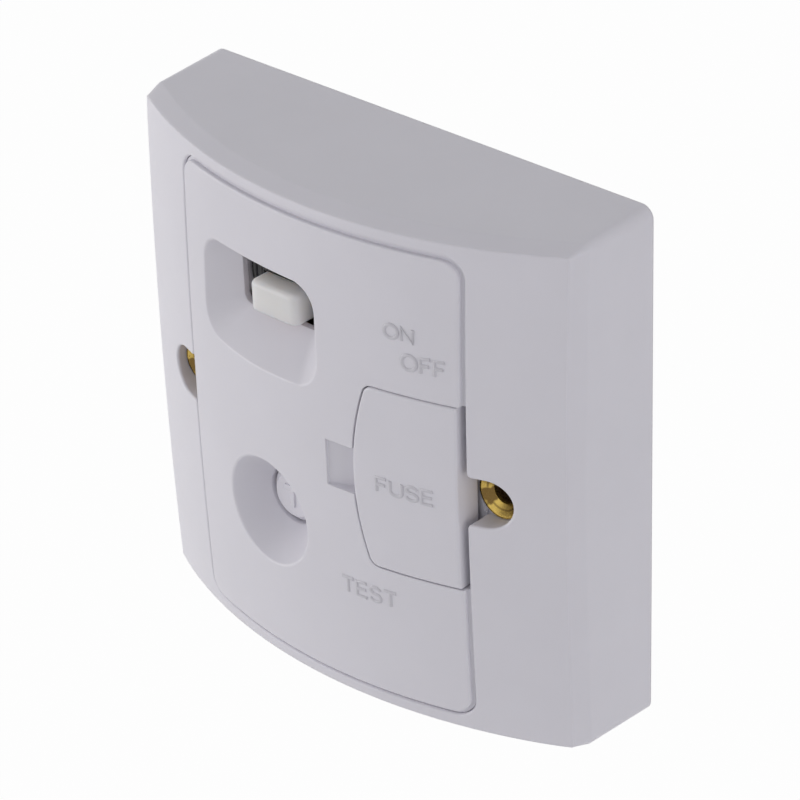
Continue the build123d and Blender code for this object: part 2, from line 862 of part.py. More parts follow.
# Pivot pin of the toggle lever
with BuildPart() as toggle_pivot_pin:
    with BuildSketch(toggle_plane):
        with Locations(toggle_axis):
            Circle(toggle_pin_radius)
    extrude(amount=cheek_inner + cheek_thickness, both=True)
toggle_pivot_pin.part.label = "toggle_pivot_pin"
export_step(toggle_pivot_pin.part, "parts/toggle_pivot_pin.step")


def flag(low_angle, high_angle):
    """Curved block around the lever's hub, between two angles above the front."""
    with BuildPart() as block:
        with BuildSketch(toggle_plane):
            with BuildLine():
                start = 180 - high_angle
                sweep_angle = high_angle - low_angle
                outer = CenterArc(toggle_axis, flag_radius, start, sweep_angle)
                inner = CenterArc(toggle_axis, toggle_hub_radius + pin_clearance, start, sweep_angle)
                Line(outer @ 0, inner @ 0)
                Line(outer @ 1, inner @ 1)
            make_face()
        extrude(amount=flag_width / 2, both=True)
        with BuildSketch(level(toggle_pivot_height)):
            with Locations((control_x, knob_z)):
                Rectangle(knob_width + 2 * pin_clearance, knob_height + 2 * pin_clearance)
        extrude(amount=knob_top - toggle_pivot_height, mode=Mode.SUBTRACT)
    return block.part


# Coloured flags that ride on the lever: the first shows when it is off, the second when it is on
off_flag = flag(flag_split_angle, flag_top_angle)
off_flag.label = "off_flag"
export_step(off_flag, "parts/off_flag.step")
on_flag = flag(flag_bottom_angle, flag_split_angle)
on_flag.label = "on_flag"
export_step(on_flag, "parts/on_flag.step")

# Contact base with its two guide rails
rail_x = carriage_width / 2 + seat_gap + rail_thickness / 2
base_length = carriage_top_z - base_bottom_z
base_z = base_bottom_z + base_length / 2
spring_stop_z = contact_z - contact_post_length / 2
with BuildPart() as contact_base:
    with BuildSketch(level(board_top)):
        with Locations((control_x, base_z)):
            Rectangle(carriage_width + 2 * (seat_gap + rail_thickness), base_length)
    extrude(amount=contact_base_thickness)
    with BuildSketch(level(board_top)):
        with Locations((control_x - rail_x, base_z), (control_x + rail_x, base_z)):
            Rectangle(rail_thickness, base_length)
    extrude(amount=rail_height)
    with BuildSketch(level(board_top)):
        with Locations((control_x, spring_stop_z)):
            Rectangle(spring_stop_width, contact_post_length)
    extrude(amount=rail_height)
contact_base.part.label = "contact_base"
export_step(contact_base.part, "parts/contact_base.step")

# Carriage that the lever's arm pushes along the rails
with BuildPart() as contact_carriage:
    with BuildSketch(level(carriage_floor)):
        with Locations((control_x, carriage_bottom_z + carriage_length / 2)):
            Rectangle(carriage_width, carriage_length)
        with Locations((control_x, switch_window_z)):
            Rectangle(toggle_arm_width + 2 * seat_gap, carriage_slot, mode=Mode.SUBTRACT)
    extrude(amount=carriage_thickness)
contact_carriage.part.label = "contact_carriage"
export_step(contact_carriage.part, "parts/contact_carriage.step")

# Moving bridges on the carriage, one for live and one for neutral
with BuildPart() as moving_contacts:
    with BuildSketch(level(carriage_floor)):
        for side in (-1, 1):
            with Locations((control_x + side * bridge_offset, carriage_bottom_z - bridge_thickness / 2)):
                Rectangle(bridge_length, bridge_thickness)
    extrude(amount=bridge_height)
moving_contacts.part.label = "moving_contacts"
export_step(moving_contacts.part, "parts/moving_contacts.step")

# Fixed contacts, two for each bridge
with BuildPart() as fixed_contacts:
    with BuildSketch(level(base_top)):
        for side in (-1, 1):
            middle = control_x + side * bridge_offset
            with Locations(
                (middle - contact_post_offset, contact_z + contact_post_length / 2),
                (middle + contact_post_offset, contact_z + contact_post_length / 2),
            ):
                Rectangle(contact_post_width, contact_post_length)
    extrude(amount=bridge_height + seat_gap)
fixed_contacts.part.label = "fixed_contacts"
export_step(fixed_contacts.part, "parts/fixed_contacts.step")

# Return spring of the carriage
carriage_spring_height = base_top + seat_gap + carriage_spring_radius + carriage_spring_wire
carriage_spring_start = spring_stop_z + contact_post_length / 2
carriage_spring = coil_spring(
    (control_x, -carriage_spring_height, carriage_spring_start),
    (0, 0, 1),
    carriage_spring_radius,
    carriage_spring_wire,
    carriage_bottom_z - carriage_spring_start,
    carriage_spring_turns,
)
carriage_spring.label = "carriage_spring"
export_step(carriage_spring, "parts/carriage_spring.step")

# Test button with a raised letter on its face
flange_top = well_floor - recess_wall - seat_gap
flange_bottom = flange_top - button_flange_thickness
letter_top = test_z + letter_height / 2
with BuildPart() as test_button:
    with BuildSketch(level(flange_bottom)):
        with Locations((control_x, test_z)):
            Circle(button_radius)
    extrude(amount=button_top - flange_bottom)
    chamfer(test_button.faces().sort_by(Axis.Y)[0].edges(), button_chamfer)
    with BuildSketch(level(flange_bottom)):
        with Locations((control_x, test_z)):
            Circle(button_flange_radius)
    extrude(amount=button_flange_thickness)
    with BuildSketch(level(button_stem_end)):
        with Locations((control_x, test_z)):
            Circle(button_stem_radius)
    extrude(amount=flange_bottom - button_stem_end)
    with BuildSketch(level(button_top)):
        with Locations((control_x, test_z)):
            Rectangle(letter_stroke, letter_height)
        with Locations((control_x, letter_top - letter_stroke / 2)):
            Rectangle(letter_width, letter_stroke)
    extrude(amount=letter_rise)
test_button.part.label = "test_button"
export_step(test_button.part, "parts/test_button.step")

# Guide tube of the test button on the circuit board
with BuildPart() as test_guide:
    with BuildSketch(level(board_top)):
        with Locations((control_x, test_z)):
            Circle(test_guide_radius)
            Circle(button_stem_radius + seat_gap, mode=Mode.SUBTRACT)
    extrude(amount=test_guide_top - board_top)
test_guide.part.label = "test_guide"
export_step(test_guide.part, "parts/test_guide.step")

# Spring under the test button
test_spring = coil_spring(
    (control_x, -test_guide_top, test_z),
    (0, -1, 0),
    test_spring_radius,
    test_spring_wire,
    flange_bottom - test_guide_top,
    test_spring_turns,
)
test_spring.label = "test_spring"
export_step(test_spring, "parts/test_spring.step")

# Test contacts that the button's stem closes
with BuildPart() as test_contacts:
    with BuildSketch(level(board_top)):
        with Locations((control_x - leaf_gap, test_z), (control_x + leaf_gap, test_z)):
            Rectangle(leaf_thickness, leaf_width)
    extrude(amount=button_stem_end - button_travel - seat_gap - board_top)
test_contacts.part.label = "test_contacts"
export_step(test_contacts.part, "parts/test_contacts.step")

# Rear housing with the back plate that closes the frame
with BuildPart() as rear_housing:
    with BuildSketch(level(-housing_depth)):
        RectangleRounded(housing_width, housing_height, housing_corner)
    extrude(amount=housing_depth + back_plate_bottom)
    with BuildSketch(level(back_plate_bottom)):
        RectangleRounded(back_plate_width, back_plate_height, back_plate_corner)
        with Locations(*fixing_places):
            Circle(column_radius + seat_gap, mode=Mode.SUBTRACT)
    extrude(amount=back_plate_top - back_plate_bottom)
    with BuildSketch(level(terminal_seat)):
        RectangleRounded(
            housing_width - 2 * housing_wall,
            housing_height - 2 * housing_wall,
            housing_corner - housing_wall,
        )
    extrude(amount=back_plate_top - terminal_seat, mode=Mode.SUBTRACT)
    with BuildSketch(level(board_level)):
        RectangleRounded(
            2 * ledge_half_width,
            2 * ledge_half_height,
            housing_corner - housing_wall + ledge_width,
        )
    extrude(amount=back_plate_top - board_level, mode=Mode.SUBTRACT)
    with BuildSketch(Plane.YZ):
        with Locations((-(strap_bottom + strap_top) / 2, 0)):
            Rectangle(strap_thickness + 2 * hole_clearance, strap_width + 2 * hole_clearance)
    extrude(amount=housing_width, both=True, mode=Mode.SUBTRACT)
    with BuildSketch(Plane.XY):
        with Locations(
            *[(x, -(terminal_seat + terminal_bore_height)) for x in (-terminal_x, 0, terminal_x)]
        ):
            Circle(terminal_bore + 2 * seat_gap)
    extrude(amount=housing_height, both=True, mode=Mode.SUBTRACT)
    with BuildSketch(level(-housing_depth)):
        with Locations(*terminal_places.values()):
            Circle(terminal_screw_radius + seat_gap)
    extrude(amount=housing_floor, mode=Mode.SUBTRACT)
    with BuildSketch(level(back_plate_bottom)):
        with Locations(*frame_screw_places, *panel_screw_places):
            Circle(screw_radius + pin_clearance)
    extrude(amount=back_plate_top - back_plate_bottom, mode=Mode.SUBTRACT)
rear_housing.part.label = "rear_housing"
export_step(rear_housing.part, "parts/rear_housing.step")

# Screws from behind into the frame and into the centre panel
frame_screws = screw_group(frame_screw_places, back_plate_bottom, screw_tip)
frame_screws.label = "frame_screws"
export_step(frame_screws, "parts/frame_screws.step")
panel_screws = screw_group(panel_screw_places, back_plate_bottom, screw_tip)
panel_screws.label = "panel_screws"
export_step(panel_screws, "parts/panel_screws.step")

# Earth strap that joins both fixings to the earth terminals
with BuildPart() as earth_strap:
    with BuildSketch(level(strap_bottom)):
        Rectangle(fixing_centres, strap_width)
        Rectangle(strap_width, 2 * terminal_z + strap_thickness)
        with Locations(*fixing_places):
            Circle(strap_ring_radius)
            Circle(eyelet_radius + pin_clearance, mode=Mode.SUBTRACT)
    extrude(amount=strap_thickness)
    with BuildSketch(level(terminal_top)):
        with Locations((0, -terminal_z), (0, terminal_z)):
            Rectangle(strap_width, strap_thickness)
    extrude(amount=strap_bottom - terminal_top)
earth_strap.part.label = "earth_strap"
export_step(earth_strap.part, "parts/earth_strap.step")

# Brass terminals, each with a bore for the wire and a hole for its screw
for name, place in terminal_places.items():
    with BuildPart() as terminal:
        with BuildSketch(level(terminal_seat)):
            with Locations(place):
                Rectangle(terminal_width, terminal_length)
        extrude(amount=terminal_height)
        with BuildSketch(Plane.XY.offset(place[1])):
            with Locations((place[0], -(terminal_seat + terminal_bore_height))):
                Circle(terminal_bore)
        extrude(amount=terminal_length, both=True, mode=Mode.SUBTRACT)
        with BuildSketch(level(terminal_seat)):
            with Locations(place):
                Circle(terminal_screw_radius + pin_clearance)
        extrude(amount=terminal_bore_height, mode=Mode.SUBTRACT)
    terminal.part.label = f"{name}_terminal"
    export_step(terminal.part, f"parts/{name}_terminal.step")

# Clamping screws of the terminals
terminal_screw_start = terminal_seat - terminal_screw_sink
with BuildPart() as terminal_screws:
    with BuildSketch(level(terminal_screw_start)):
        with Locations(*terminal_places.values()):
            Circle(terminal_screw_radius)
    extrude(amount=terminal_screw_length)
    with BuildSketch(level(terminal_screw_start)):
        with Locations(*terminal_places.values()):
            Rectangle(2 * (terminal_screw_radius + over_cut), screw_slot_width)
    extrude(amount=screw_slot_depth, mode=Mode.SUBTRACT)
terminal_screws.part.label = "terminal_screws"
export_step(terminal_screws.part, "parts/terminal_screws.step")

# Copper posts from the live and neutral terminals to the circuit board
with BuildPart() as terminal_posts:
    with BuildSketch(level(terminal_top)):
        with Locations(*live_places):
            Rectangle(post_width, strap_thickness)
    extrude(amount=board_level - terminal_top)
terminal_posts.part.label = "terminal_posts"
export_step(terminal_posts.part, "parts/terminal_posts.step")

# Circuit board on the ledge of the housing
with BuildPart() as circuit_board:
    with BuildSketch(level(board_level)):
        RectangleRounded(
            2 * board_half_width,
            2 * board_half_height,
            housing_corner - housing_wall + ledge_width,
        )
    extrude(amount=board_thickness)
circuit_board.part.label = "circuit_board"
export_step(circuit_board.part, "parts/circuit_board.step")

# Steel yoke of the trip solenoid
yoke_bottom_z = coil_bottom_z - yoke_thickness
yoke_length = coil_length + 2 * yoke_thickness
with BuildPart() as solenoid_yoke:
    with BuildSketch(level(board_top)):
        with Locations((control_x, yoke_bottom_z + yoke_length / 2)):
            Rectangle(2 * yoke_half_width, yoke_length)
    extrude(amount=yoke_thickness)
    with BuildSketch(level(board_top)):
        with Locations(
            (control_x, yoke_bottom_z + yoke_thickness / 2),
            (control_x, coil_top_z + yoke_thickness / 2),
        ):
            Rectangle(2 * yoke_half_width, yoke_thickness)
    extrude(amount=coil_height + coil_radius - board_top)
    with BuildSketch(Plane.XY.offset(coil_top_z)):
        with Locations((control_x, -coil_height)):
            Circle(push_rod_radius + seat_gap)
    extrude(amount=yoke_thickness, mode=Mode.SUBTRACT)
solenoid_yoke.part.label = "solenoid_yoke"
export_step(solenoid_yoke.part, "parts/solenoid_yoke.step")

# Bobbin and coil of the solenoid
with BuildPart() as solenoid_bobbin:
    with BuildSketch(Plane.XY.offset(coil_bottom_z)):
        with Locations((control_x, -coil_height)):
            Circle(bobbin_radius)
    extrude(amount=coil_length)
    for bottom in (coil_bottom_z, coil_top_z - bobbin_flange):
        with BuildSketch(Plane.XY.offset(bottom)):
            with Locations((control_x, -coil_height)):
                Circle(coil_radius)
        extrude(amount=bobbin_flange)
    with BuildSketch(Plane.XY.offset(coil_bottom_z)):
        with Locations((control_x, -coil_height)):
            Circle(bobbin_bore)
    extrude(amount=coil_length, mode=Mode.SUBTRACT)
solenoid_bobbin.part.label = "solenoid_bobbin"
export_step(solenoid_bobbin.part, "parts/solenoid_bobbin.step")

with BuildPart() as solenoid_coil:
    with BuildSketch(Plane.XY.offset(coil_bottom_z + bobbin_flange)):
        with Locations((control_x, -coil_height)):
            Circle(coil_radius)
            Circle(bobbin_radius, mode=Mode.SUBTRACT)
    extrude(amount=coil_length - 2 * bobbin_flange)
solenoid_coil.part.label = "solenoid_coil"
export_step(solenoid_coil.part, "parts/solenoid_coil.step")

# Plunger and push rod that trip the lever
plunger_bottom_z = coil_bottom_z + seat_gap
plunger_top_z = plunger_bottom_z + plunger_length
with BuildPart() as trip_plunger:
    with BuildSketch(Plane.XY.offset(plunger_bottom_z)):
        with Locations((control_x, -coil_height)):
            Circle(plunger_radius)
    extrude(amount=plunger_length)
    with BuildSketch(Plane.XY.offset(plunger_top_z)):
        with Locations((control_x, -coil_height)):
            Circle(push_rod_radius)
    extrude(amount=push_rod_end_z - plunger_top_z)
trip_plunger.part.label = "trip_plunger"
export_step(trip_plunger.part, "parts/trip_plunger.step")

# Return spring of the plunger, around the push rod
plunger_spring = coil_spring(
    (control_x, -coil_height, plunger_top_z),
    (0, 0, 1),
    plunger_spring_radius,
    plunger_spring_wire,
    coil_top_z - plunger_top_z,
    plunger_spring_turns,
)
plunger_spring.label = "plunger_spring"
export_step(plunger_spring, "parts/plunger_spring.step")

# Sensing toroid and its winding, standing on the circuit board
core_bottom = board_top + winding_thickness
with BuildPart() as toroid_core:
    with BuildSketch(level(core_bottom)):
        with Locations((toroid_x, toroid_z)):
            Circle(toroid_radius)
            Circle(toroid_hole, mode=Mode.SUBTRACT)
    extrude(amount=toroid_height)
toroid_core.part.label = "toroid_core"
export_step(toroid_core.part, "parts/toroid_core.step")

ring_width = toroid_radius - toroid_hole
ring_middle = (toroid_radius + toroid_hole) / 2
with BuildPart() as toroid_winding:
    with BuildSketch(Plane.XY.offset(toroid_z)):
        with Locations((toroid_x + ring_middle, -(core_bottom + toroid_height / 2))):
            Rectangle(ring_width + 2 * winding_thickness, toroid_height + 2 * winding_thickness)
            Rectangle(ring_width, toroid_height, mode=Mode.SUBTRACT)
    revolve(axis=Axis((toroid_x, 0, toroid_z), (0, 1, 0)), revolution_arc=winding_angle)
toroid_winding.part.label = "toroid_winding"
export_step(toroid_winding.part, "parts/toroid_winding.step")

# Main conductors that pass through the toroid and back to the board
conductor_top = core_bottom + toroid_height + winding_thickness + 2 * conductor_radius
conductor_end = toroid_x + winding_radius + 2 * conductor_radius
with BuildPart() as main_conductors:
    for side in (-1, 1):
        z = toroid_z + side * conductor_spacing / 2
        with BuildLine():
            FilletPolyline(
                (toroid_x, -board_top, z),
                (toroid_x, -conductor_top, z),
                (conductor_end, -conductor_top, z),
                (conductor_end, -board_top, z),
                radius=conductor_bend,
            )
        with BuildSketch(level(board_top)):
            with Locations((toroid_x, z)):
                Circle(conductor_radius)
        sweep()
main_conductors.part.label = "main_conductors"
export_step(main_conductors.part, "parts/main_conductors.step")

# Components on the board around the test well
with BuildPart() as smoothing_capacitor:
    with BuildSketch(level(board_top)):
        with Locations((capacitor_x, component_z)):
            Circle(capacitor_radius)
    extrude(amount=capacitor_height)
smoothing_capacitor.part.label = "smoothing_capacitor"
export_step(smoothing_capacitor.part, "parts/smoothing_capacitor.step")

with BuildPart() as varistor:
    with BuildSketch(level(board_top)):
        with Locations((varistor_x, component_z)):
            Rectangle(varistor_width, varistor_thickness)
    extrude(amount=varistor_height)
varistor.part.label = "varistor"
export_step(varistor.part, "parts/varistor.step")

with BuildPart() as control_chip:
    with BuildSketch(level(board_top)):
        with Locations((chip_x, component_z)):
            Rectangle(chip_width, chip_length)
    extrude(amount=chip_thickness)
control_chip.part.label = "control_chip"
export_step(control_chip.part, "parts/control_chip.step")

with BuildPart() as board_resistors:
    with BuildSketch(level(board_top)):
        for step in (-1, 0, 1):
            with Locations((resistor_x + step * resistor_pitch, component_z)):
                Rectangle(resistor_width, resistor_length)
    extrude(amount=resistor_thickness)
board_resistors.part.label = "board_resistors"
export_step(board_resistors.part, "parts/board_resistors.step")
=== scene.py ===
from math import cos, radians, sin, sqrt, tau

import bpy
from mathutils import Matrix, Vector


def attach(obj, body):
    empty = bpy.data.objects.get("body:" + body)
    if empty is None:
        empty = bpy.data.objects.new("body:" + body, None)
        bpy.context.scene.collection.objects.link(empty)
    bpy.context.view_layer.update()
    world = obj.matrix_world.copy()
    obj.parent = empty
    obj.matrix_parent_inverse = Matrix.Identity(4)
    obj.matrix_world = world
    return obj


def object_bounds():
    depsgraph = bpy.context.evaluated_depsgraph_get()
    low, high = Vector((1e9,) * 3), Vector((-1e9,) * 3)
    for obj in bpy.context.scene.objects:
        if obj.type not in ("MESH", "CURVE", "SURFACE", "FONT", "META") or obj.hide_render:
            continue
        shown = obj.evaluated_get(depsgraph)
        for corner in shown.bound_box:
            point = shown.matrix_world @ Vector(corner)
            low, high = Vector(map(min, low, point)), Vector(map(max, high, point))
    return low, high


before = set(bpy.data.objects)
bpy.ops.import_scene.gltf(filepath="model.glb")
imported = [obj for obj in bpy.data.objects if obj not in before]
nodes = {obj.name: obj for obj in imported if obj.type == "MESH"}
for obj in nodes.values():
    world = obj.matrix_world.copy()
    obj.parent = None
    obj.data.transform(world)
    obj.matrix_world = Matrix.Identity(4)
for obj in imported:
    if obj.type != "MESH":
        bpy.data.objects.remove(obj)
cad_low, cad_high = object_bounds()

# All sizes are in metres. X runs to the right, Y into the wall and Z up.
MM = 0.001

# Domed front, which the lettering follows: its height at the middle, the two radii of its curve,
# and how far the panel and the carrier stand above it
CROWN_HEIGHT = 27.9 * MM
CROWN_ACROSS = 86.0 * MM
CROWN_UP = 870.0 * MM
PANEL_RISE = 0.3 * MM
CARRIER_RISE = 0.45 * MM

# Fixing holes, to the left and right of the middle
FIXING_X = 30.15 * MM

# Turned brass in those holes. The bore is painted darker, as painted shade, from one place along Y
# to the next.
BORE_START = -17.9 * MM
BORE_DARK = -17.2 * MM
# The ring where its cone and bore meet is painted dark, as painted shade of a small step, up to
# one distance, and fades out by the other.
LIP_RADIUS = 2.75 * MM
LIP_DARK = 0.05 * MM
LIP_END = 0.22 * MM
# The brass is darker in one direction from the centre. Cosines of the angle to that direction say
# where the darkening ends and where it is full.
DARK_SIDE_ANGLE = radians(208)
DARK_SIDE_END = 0.86
DARK_SIDE_FULL = 0.95
# Tool marks, in radians per metre
TOOL_MARKS = 52000.0

# Faint darker clouds in plastic, how much lighter edges are painted, partly as wear and partly as
# painted highlight, and how much smoother handling leaves an edge
CLOUD_SHADE = 0.975
EDGE_WEAR_AND_HIGHLIGHT_SHADE = 1.15
PLASTIC_SMOOTHER = 0.08
METAL_SMOOTHER = 0.06

# Ridges on the flags and turns of the windings
FLAG_PITCH = 1.1 * MM
TURN_PITCH = 0.3 * MM
RIDGE_HEIGHT = 0.06 * MM

# Noise lies mostly between these values
NOISE_LOW = 0.3
NOISE_HIGH = 0.7

# Cosine between the softened and the true normal, on an edge and off it
ON_EDGE = 0.86
OFF_EDGE = 0.995

# Camera, as it stood for the photograph: angles in degrees, lens and sensor in millimetres
CAMERA_AZIMUTH = 43.49
CAMERA_ELEVATION = 30.71
CAMERA_ROLL = -2.24
CAMERA_DISTANCE = 513.2 * MM
CAMERA_AIM = (-2.39 * MM, -4.67 * MM, -2.94 * MM)
CAMERA_LENS = 151.4
SENSOR_WIDTH = 36.0
CLIP_START = 0.01
CLIP_END = 20.0

# Floor, well below the plate, which hangs on a wall in use, and how much of it is plain white
FLOOR_SIZE = 6.0
FLOOR_DROP = 0.16
FLOOR_GLOW = 0.97

# Strength of the even light on the object
WORLD_LIGHT = 0.48


def linear(red, green, blue):
    """Colour given as it shows on a screen, from 0 to 255, turned into linear light."""
    out = []
    for part in (red, green, blue):
        part /= 255
        out.append(part / 12.92 if part <= 0.04045 else ((part + 0.055) / 1.055) ** 2.4)
    return (*out, 1.0)


# Colours
WHITE = linear(227, 225, 232)
REAR_WHITE = linear(220, 218, 221)
WARM_WHITE = linear(252, 242, 236)
BLACK = linear(22, 22, 24)
RED = linear(188, 24, 20)
ENAMELLED_COPPER = linear(168, 84, 38)
BRASS_BRIGHT = (0.70, 0.50, 0.13, 1.0)
BRASS_DARK = (0.11, 0.062, 0.024, 1.0)


class Graph:
    """Short way to write a material's nodes."""

    def __init__(self, name):
        self.material = bpy.data.materials.new(name)
        self.material.use_nodes = True
        self.tree = self.material.node_tree
        self.shader = self.tree.nodes["Principled BSDF"]
        self.output = self.tree.nodes["Material Output"]
        self.place = self.add("ShaderNodeTexCoord").outputs["Object"]

    def add(self, kind, inputs=(), **settings):
        node = self.tree.nodes.new(kind)
        for key, value in settings.items():
            setattr(node, key, value)
        for key, value in dict(inputs).items():
            self.feed(node.inputs[key], value)
        return node

    def feed(self, socket, value):
        if isinstance(value, bpy.types.NodeSocket):
            self.tree.links.new(value, socket)
        else:
            socket.default_value = value

    def noise(self, scale, detail=2.0, roughness=0.5):
        """Noise with a scale per metre."""
        return self.add("ShaderNodeTexNoise", {
            "Vector": self.place, "Scale": scale, "Detail": detail, "Roughness": roughness,
        }).outputs["Fac"]

    def span(self, value, low, high, start=NOISE_LOW, end=NOISE_HIGH):
        """Value from start to end, spread over low to high."""
        return self.add("ShaderNodeMapRange", {
            "Value": value, "From Min": start, "From Max": end, "To Min": low, "To Max": high,
        }).outputs["Result"]

    def mix(self, factor, first, second):
        node = self.add("ShaderNodeMix", data_type="RGBA")
        self.feed(node.inputs[0], factor)
        self.feed(node.inputs[6], first)
        self.feed(node.inputs[7], second)
        return node.outputs[2]

    def math(self, operation, first, second=0.0):
        node = self.add("ShaderNodeMath", operation=operation)
        self.feed(node.inputs[0], first)
        self.feed(node.inputs[1], second)
        return node.outputs[0]

    def bump(self, height, distance, below=None):
        """Normal with a bump of a distance in metres, over the normal below."""
        inputs = {"Height": height, "Distance": distance}
        if below:
            inputs["Normal"] = below
        return self.add("ShaderNodeBump", inputs).outputs["Normal"]

    def rounded(self, radius):
        """Normal with edges softened to a radius, and a mask that is 1 along those edges."""
        soft = self.add("ShaderNodeBevel", {"Radius": radius}, samples=6).outputs["Normal"]
        flat = self.add("ShaderNodeNewGeometry").outputs["Normal"]
        dot = self.add("ShaderNodeVectorMath", {0: soft, 1: flat}, operation="DOT_PRODUCT")
        return soft, self.span(dot.outputs["Value"], 1.0, 0.0, ON_EDGE, OFF_EDGE)

    def set(self, **values):
        names = {
            "colour": "Base Color", "roughness": "Roughness", "metallic": "Metallic",
            "normal": "Normal", "ior": "IOR", "soft": "Subsurface Weight",
            "soft_scale": "Subsurface Scale", "soft_radius": "Subsurface Radius",
        }
        for key, value in values.items():
            self.feed(self.shader.inputs[names[key]], value)


def shade(colour, factor):
    """The same colour, lighter or darker."""
    return (*(min(1.0, channel * factor) for channel in colour[:3]), 1.0)


def moulded(name, colour, roughness, grain=0.005 * MM, depth=0.0, soft_share=0.12, edge=0.25 * MM):
    """Moulded plastic: faint clouds, fine grain, and edges that handling has made smoother and
    that are painted lighter, partly as wear and partly as painted highlight.

    Where it has a depth, a share of the light goes in that far.
    """
    g = Graph(name)
    cloud = g.span(g.noise(70.0, detail=3.0), 0.0, 1.0)
    fine = g.noise(2600.0, detail=2.0)
    wide = g.noise(420.0, detail=1.0)
    soft, rim = g.rounded(edge)
    patchy = g.math("MULTIPLY", rim, g.span(g.noise(300.0, detail=3.0), 0.6, 1.0))
    body = g.mix(cloud, colour, shade(colour, CLOUD_SHADE))
    matt = g.span(g.noise(900.0), roughness - 0.035, roughness + 0.035)
    g.set(
        # Edges are painted lighter, partly as wear and partly as painted highlight
        colour=g.mix(patchy, body, shade(colour, EDGE_WEAR_AND_HIGHLIGHT_SHADE)),
        roughness=g.math("SUBTRACT", matt, g.math("MULTIPLY", patchy, PLASTIC_SMOOTHER)),
        normal=g.bump(fine, grain, below=g.bump(wide, 3 * grain, below=soft)),
        ior=1.5,
    )
    if depth:
        g.set(soft=soft_share, soft_scale=depth, soft_radius=(1.0, 0.9, 0.8))
    return g.material


def brass(name, hole_x):
    """Turned brass around a hole along Y: fine rings, oxide patches, one side darker, painted
    shade in the bore and in a ring where cone and bore meet, and edges painted lighter as wear and
    painted highlight.
    """
    g = Graph(name)
    apart = g.add("ShaderNodeSeparateXYZ", {"Vector": g.place})
    across = g.math("SUBTRACT", apart.outputs["X"], hole_x)
    up = apart.outputs["Z"]
    reach = g.math("SQRT", g.math("ADD", g.math("POWER", across, 2.0), g.math("POWER", up, 2.0)))
    along = g.math("ADD", reach, apart.outputs["Y"])
    rings = g.math("SINE", g.math("MULTIPLY", along, TOOL_MARKS))
    angle = g.math("ARCTAN2", up, across)
    ragged = g.math("ADD", angle, g.span(g.noise(700.0, detail=3.0), -0.25, 0.25))
    # One side of the brass is coloured darker than the rest
    facing = g.math("COSINE", g.math("SUBTRACT", ragged, DARK_SIDE_ANGLE))
    dark_side = g.span(facing, 0.0, 0.9, DARK_SIDE_END, DARK_SIDE_FULL)
    # Painted shade: further into the bore the brass is coloured darker and made less metallic
    bore_shade = g.span(apart.outputs["Y"], 0.0, 1.0, BORE_START, BORE_DARK)
    # Painted shade: a dark ring where the cone meets the bore stands for the shade of a small step
    off_lip = g.math("ABSOLUTE", g.math("SUBTRACT", reach, LIP_RADIUS))
    lip = g.span(off_lip, 0.7, 0.0, LIP_DARK, LIP_END)
    patches = g.span(g.noise(500.0, detail=4.0, roughness=0.6), 0.0, 0.45)
    # Darkening from oxide patches, the darker side, and the painted shade in the bore and the ring
    tarnish_and_shade = g.math("MAXIMUM", g.math("MAXIMUM", bore_shade, lip), g.math("MAXIMUM", dark_side, patches))
    soft, rim = g.rounded(0.12 * MM)
    g.set(
        # Edges are painted lighter, partly as wear and partly as painted highlight
        colour=g.mix(rim, g.mix(tarnish_and_shade, BRASS_BRIGHT, BRASS_DARK), shade(BRASS_BRIGHT, 1.1)),
        metallic=g.math("SUBTRACT", 1.0, g.math("MULTIPLY", bore_shade, 0.7)),
        roughness=g.span(g.noise(2500.0, detail=3.0), 0.22, 0.36),
        normal=g.bump(rings, 0.003 * MM, below=soft),
    )
    return g.material


def metal(name, colour, roughness, worn=0.8):
    """Plain metal with a fine grain and slightly duller patches."""
    g = Graph(name)
    grain = g.noise(2400.0, detail=3.0)
    body = g.mix(g.span(g.noise(600.0, detail=3.0), 0.0, 1.0), colour, shade(colour, worn))
    soft, rim = g.rounded(0.1 * MM)
    g.set(
        # Edges are painted lighter, partly as wear and partly as painted highlight
        colour=g.mix(rim, body, shade(colour, EDGE_WEAR_AND_HIGHLIGHT_SHADE)),
        metallic=1.0,
        roughness=g.math("SUBTRACT", g.span(grain, roughness - 0.06, roughness + 0.1),
                         g.math("MULTIPLY", rim, METAL_SMOOTHER)),
        normal=g.bump(grain, 0.004 * MM, below=soft),
    )
    return g.material


def ribbed(name, colour, roughness, axis, pitch):
    """Glossy plastic or wound wire, with even ridges across one axis."""
    g = Graph(name)
    apart = g.add("ShaderNodeSeparateXYZ", {"Vector": g.place})
    wave = g.math("SINE", g.math("MULTIPLY", apart.outputs[axis], tau / pitch))
    cloud = g.span(g.noise(500.0, detail=3.0), 0.0, 1.0)
    soft, rim = g.rounded(0.12 * MM)
    g.set(
        # Edges are painted lighter, partly as wear and partly as painted highlight
        colour=g.mix(rim, g.mix(cloud, colour, shade(colour, 0.7)), shade(colour, 1.3)),
        roughness=g.span(g.noise(1500.0), roughness - 0.05, roughness + 0.08),
        normal=g.bump(wave, RIDGE_HEIGHT, below=soft),
    )
    return g.material


def board(name):
    """Solder mask over copper tracks, with a faint weave."""
    g = Graph(name)
    tracks = g.add("ShaderNodeTexVoronoi", {"Vector": g.place, "Scale": 240.0},
                   feature="DISTANCE_TO_EDGE", distance="MANHATTAN").outputs["Distance"]
    copper = g.span(tracks, 0.0, 1.0, 0.10, 0.12)
    weave = g.noise(3000.0, detail=1.0)
    g.set(
        colour=g.mix(copper, linear(24, 92, 48), linear(16, 66, 36)),
        roughness=g.span(weave, 0.3, 0.42),
        normal=g.bump(copper, -0.03 * MM, below=g.bump(weave, 0.005 * MM)),
    )
    return g.material


face_plastic = moulded("face_plastic", WHITE, 0.36, depth=1.2 * MM)
frame_plastic = moulded("frame_plastic", WHITE, 0.36, depth=1.2 * MM, edge=0.6 * MM)
